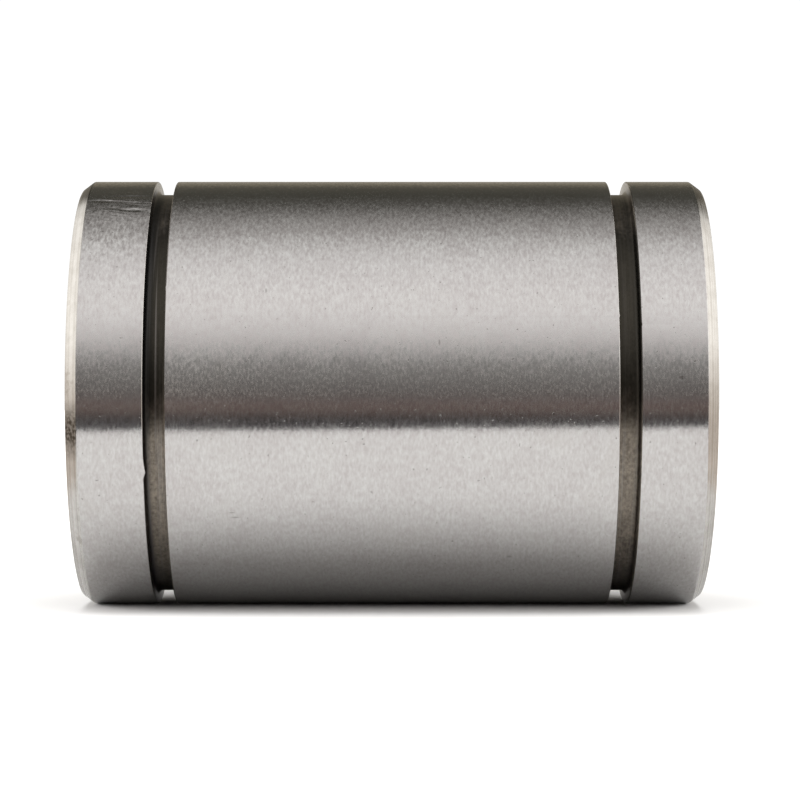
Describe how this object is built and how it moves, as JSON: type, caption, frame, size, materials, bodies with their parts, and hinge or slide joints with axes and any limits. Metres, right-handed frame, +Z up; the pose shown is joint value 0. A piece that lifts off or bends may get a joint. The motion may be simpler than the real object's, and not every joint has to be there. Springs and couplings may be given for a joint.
{
  "type": "linear ball bushing",
  "caption": "Closed cylindrical linear ball bushing with a ground steel sleeve, a retaining ring groove near each end, recirculating ball circuits and end seals.",
  "frame": {"origin": "on the bore axis at mid length, which is the centre of the whole part", "axes": "+X along the bore axis towards the front end, +Z up with the part lying on its side, straight through the first circuit's load row"},
  "size_m": [0.058, 0.04, 0.04],
  "materials": {
    "ground_steel": "satin",
    "retainer_resin": "satin",
    "seal_steel": "satin",
    "seal_rubber": "matte",
    "spring_steel": "satin",
    "ball_steel": "polished"
  },
  "bodies": {
    "bushing_shell": {"outer_sleeve": "ground_steel", "ball_retainer": "retainer_resin", "front_seal_insert": "seal_steel", "front_seal_lip": "seal_rubber", "front_snap_ring": "spring_steel", "rear_seal_insert": "seal_steel", "rear_seal_lip": "seal_rubber", "rear_snap_ring": "spring_steel"},
    "circuit_1_load_row": {"load_balls_1": "ball_steel"},
    "circuit_1_return_row": {"return_balls_1": "ball_steel"},
    "circuit_1_front_turn": {"front_turn_balls_1": "ball_steel"},
    "circuit_1_rear_turn": {"rear_turn_balls_1": "ball_steel"},
    "circuit_2_load_row": {"load_balls_2": "ball_steel"},
    "circuit_2_return_row": {"return_balls_2": "ball_steel"},
    "circuit_2_front_turn": {"front_turn_balls_2": "ball_steel"},
    "circuit_2_rear_turn": {"rear_turn_balls_2": "ball_steel"},
    "circuit_3_load_row": {"load_balls_3": "ball_steel"},
    "circuit_3_return_row": {"return_balls_3": "ball_steel"},
    "circuit_3_front_turn": {"front_turn_balls_3": "ball_steel"},
    "circuit_3_rear_turn": {"rear_turn_balls_3": "ball_steel"},
    "circuit_4_load_row": {"load_balls_4": "ball_steel"},
    "circuit_4_return_row": {"return_balls_4": "ball_steel"},
    "circuit_4_front_turn": {"front_turn_balls_4": "ball_steel"},
    "circuit_4_rear_turn": {"rear_turn_balls_4": "ball_steel"},
    "circuit_5_load_row": {"load_balls_5": "ball_steel"},
    "circuit_5_return_row": {"return_balls_5": "ball_steel"},
    "circuit_5_front_turn": {"front_turn_balls_5": "ball_steel"},
    "circuit_5_rear_turn": {"rear_turn_balls_5": "ball_steel"},
    "circuit_6_load_row": {"load_balls_6": "ball_steel"},
    "circuit_6_return_row": {"return_balls_6": "ball_steel"},
    "circuit_6_front_turn": {"front_turn_balls_6": "ball_steel"},
    "circuit_6_rear_turn": {"rear_turn_balls_6": "ball_steel"}
  },
  "joints": [
    {"name": "circuit_1_load_travel", "type": "slide", "parent": "bushing_shell", "child": "circuit_1_load_row", "axis": [1, 0, 0], "range_m": [-0.00162, 0.00162]},
    {"name": "circuit_1_return_travel", "type": "slide", "parent": "bushing_shell", "child": "circuit_1_return_row", "axis": [1, 0, 0], "range_m": [-0.00162, 0.00162]},
    {"name": "circuit_1_front_turn_travel", "type": "hinge", "parent": "bushing_shell", "child": "circuit_1_front_turn", "pos_m": [0.01782, 0.00322, 0.01437], "axis": [0, -0.0869, 0.9962], "range_deg": [-30, 30]},
    {"name": "circuit_1_rear_turn_travel", "type": "hinge", "parent": "bushing_shell", "child": "circuit_1_rear_turn", "pos_m": [-0.01782, 0.00322, 0.01437], "axis": [0, -0.0869, 0.9962], "range_deg": [-30, 30]},
    {"name": "circuit_2_load_travel", "type": "slide", "parent": "bushing_shell", "child": "circuit_2_load_row", "axis": [1, 0, 0], "range_m": [-0.00162, 0.00162]},
    {"name": "circuit_2_return_travel", "type": "slide", "parent": "bushing_shell", "child": "circuit_2_return_row", "axis": [1, 0, 0], "range_m": [-0.00162, 0.00162]},
    {"name": "circuit_2_front_turn_travel", "type": "hinge", "parent": "bushing_shell", "child": "circuit_2_front_turn", "pos_m": [0.01782, -0.01083, 0.00997], "axis": [0, -0.9062, 0.4229], "range_deg": [-30, 30]},
    {"name": "circuit_2_rear_turn_travel", "type": "hinge", "parent": "bushing_shell", "child": "circuit_2_rear_turn", "pos_m": [-0.01782, -0.01083, 0.00997], "axis": [0, -0.9062, 0.4229], "range_deg": [-30, 30]},
    {"name": "circuit_3_load_travel", "type": "slide", "parent": "bushing_shell", "child": "circuit_3_load_row", "axis": [1, 0, 0], "range_m": [-0.00162, 0.00162]},
    {"name": "circuit_3_return_travel", "type": "slide", "parent": "bushing_shell", "child": "circuit_3_return_row", "axis": [1, 0, 0], "range_m": [-0.00162, 0.00162]},
    {"name": "circuit_3_front_turn_travel", "type": "hinge", "parent": "bushing_shell", "child": "circuit_3_front_turn", "pos_m": [0.01782, -0.01405, -0.0044], "axis": [0, -0.8193, -0.5733], "range_deg": [-30, 30]},
    {"name": "circuit_3_rear_turn_travel", "type": "hinge", "parent": "bushing_shell", "child": "circuit_3_rear_turn", "pos_m": [-0.01782, -0.01405, -0.0044], "axis": [0, -0.8193, -0.5733], "range_deg": [-30, 30]},
    {"name": "circuit_4_load_travel", "type": "slide", "parent": "bushing_shell", "child": "circuit_4_load_row", "axis": [1, 0, 0], "range_m": [-0.00162, 0.00162]},
    {"name": "circuit_4_return_travel", "type": "slide", "parent": "bushing_shell", "child": "circuit_4_return_row", "axis": [1, 0, 0], "range_m": [-0.00162, 0.00162]},
    {"name": "circuit_4_front_turn_travel", "type": "hinge", "parent": "bushing_shell", "child": "circuit_4_front_turn", "pos_m": [0.01782, -0.00322, -0.01437], "axis": [0, 0.0869, -0.9962], "range_deg": [-30, 30]},
    {"name": "circuit_4_rear_turn_travel", "type": "hinge", "parent": "bushing_shell", "child": "circuit_4_rear_turn", "pos_m": [-0.01782, -0.00322, -0.01437], "axis": [0, 0.0869, -0.9962], "range_deg": [-30, 30]},
    {"name": "circuit_5_load_travel", "type": "slide", "parent": "bushing_shell", "child": "circuit_5_load_row", "axis": [1, 0, 0], "range_m": [-0.00162, 0.00162]},
    {"name": "circuit_5_return_travel", "type": "slide", "parent": "bushing_shell", "child": "circuit_5_return_row", "axis": [1, 0, 0], "range_m": [-0.00162, 0.00162]},
    {"name": "circuit_5_front_turn_travel", "type": "hinge", "parent": "bushing_shell", "child": "circuit_5_front_turn", "pos_m": [0.01782, 0.01083, -0.00997], "axis": [0, 0.9062, -0.4229], "range_deg": [-30, 30]},
    {"name": "circuit_5_rear_turn_travel", "type": "hinge", "parent": "bushing_shell", "child": "circuit_5_rear_turn", "pos_m": [-0.01782, 0.01083, -0.00997], "axis": [0, 0.9062, -0.4229], "range_deg": [-30, 30]},
    {"name": "circuit_6_load_travel", "type": "slide", "parent": "bushing_shell", "child": "circuit_6_load_row", "axis": [1, 0, 0], "range_m": [-0.00162, 0.00162]},
    {"name": "circuit_6_return_travel", "type": "slide", "parent": "bushing_shell", "child": "circuit_6_return_row", "axis": [1, 0, 0], "range_m": [-0.00162, 0.00162]},
    {"name": "circuit_6_front_turn_travel", "type": "hinge", "parent": "bushing_shell", "child": "circuit_6_front_turn", "pos_m": [0.01782, 0.01405, 0.0044], "axis": [0, 0.8193, 0.5733], "range_deg": [-30, 30]},
    {"name": "circuit_6_rear_turn_travel", "type": "hinge", "parent": "bushing_shell", "child": "circuit_6_rear_turn", "pos_m": [-0.01782, 0.01405, 0.0044], "axis": [0, 0.8193, 0.5733], "range_deg": [-30, 30]}
  ],
  "couplings": [
    {"joint": "circuit_1_return_travel", "follows": "circuit_1_load_travel", "ratio": -1},
    {"joint": "circuit_1_front_turn_travel", "follows": "circuit_1_load_travel", "rad_per_m": 323.2},
    {"joint": "circuit_1_rear_turn_travel", "follows": "circuit_1_load_travel", "rad_per_m": 323.2},
    {"joint": "circuit_2_return_travel", "follows": "circuit_2_load_travel", "ratio": -1},
    {"joint": "circuit_2_front_turn_travel", "follows": "circuit_2_load_travel", "rad_per_m": 323.2},
    {"joint": "circuit_2_rear_turn_travel", "follows": "circuit_2_load_travel", "rad_per_m": 323.2},
    {"joint": "circuit_3_return_travel", "follows": "circuit_3_load_travel", "ratio": -1},
    {"joint": "circuit_3_front_turn_travel", "follows": "circuit_3_load_travel", "rad_per_m": 323.2},
    {"joint": "circuit_3_rear_turn_travel", "follows": "circuit_3_load_travel", "rad_per_m": 323.2},
    {"joint": "circuit_4_return_travel", "follows": "circuit_4_load_travel", "ratio": -1},
    {"joint": "circuit_4_front_turn_travel", "follows": "circuit_4_load_travel", "rad_per_m": 323.2},
    {"joint": "circuit_4_rear_turn_travel", "follows": "circuit_4_load_travel", "rad_per_m": 323.2},
    {"joint": "circuit_5_return_travel", "follows": "circuit_5_load_travel", "ratio": -1},
    {"joint": "circuit_5_front_turn_travel", "follows": "circuit_5_load_travel", "rad_per_m": 323.2},
    {"joint": "circuit_5_rear_turn_travel", "follows": "circuit_5_load_travel", "rad_per_m": 323.2},
    {"joint": "circuit_6_return_travel", "follows": "circuit_6_load_travel", "ratio": -1},
    {"joint": "circuit_6_front_turn_travel", "follows": "circuit_6_load_travel", "rad_per_m": 323.2},
    {"joint": "circuit_6_rear_turn_travel", "follows": "circuit_6_load_travel", "rad_per_m": 323.2}
  ]
}
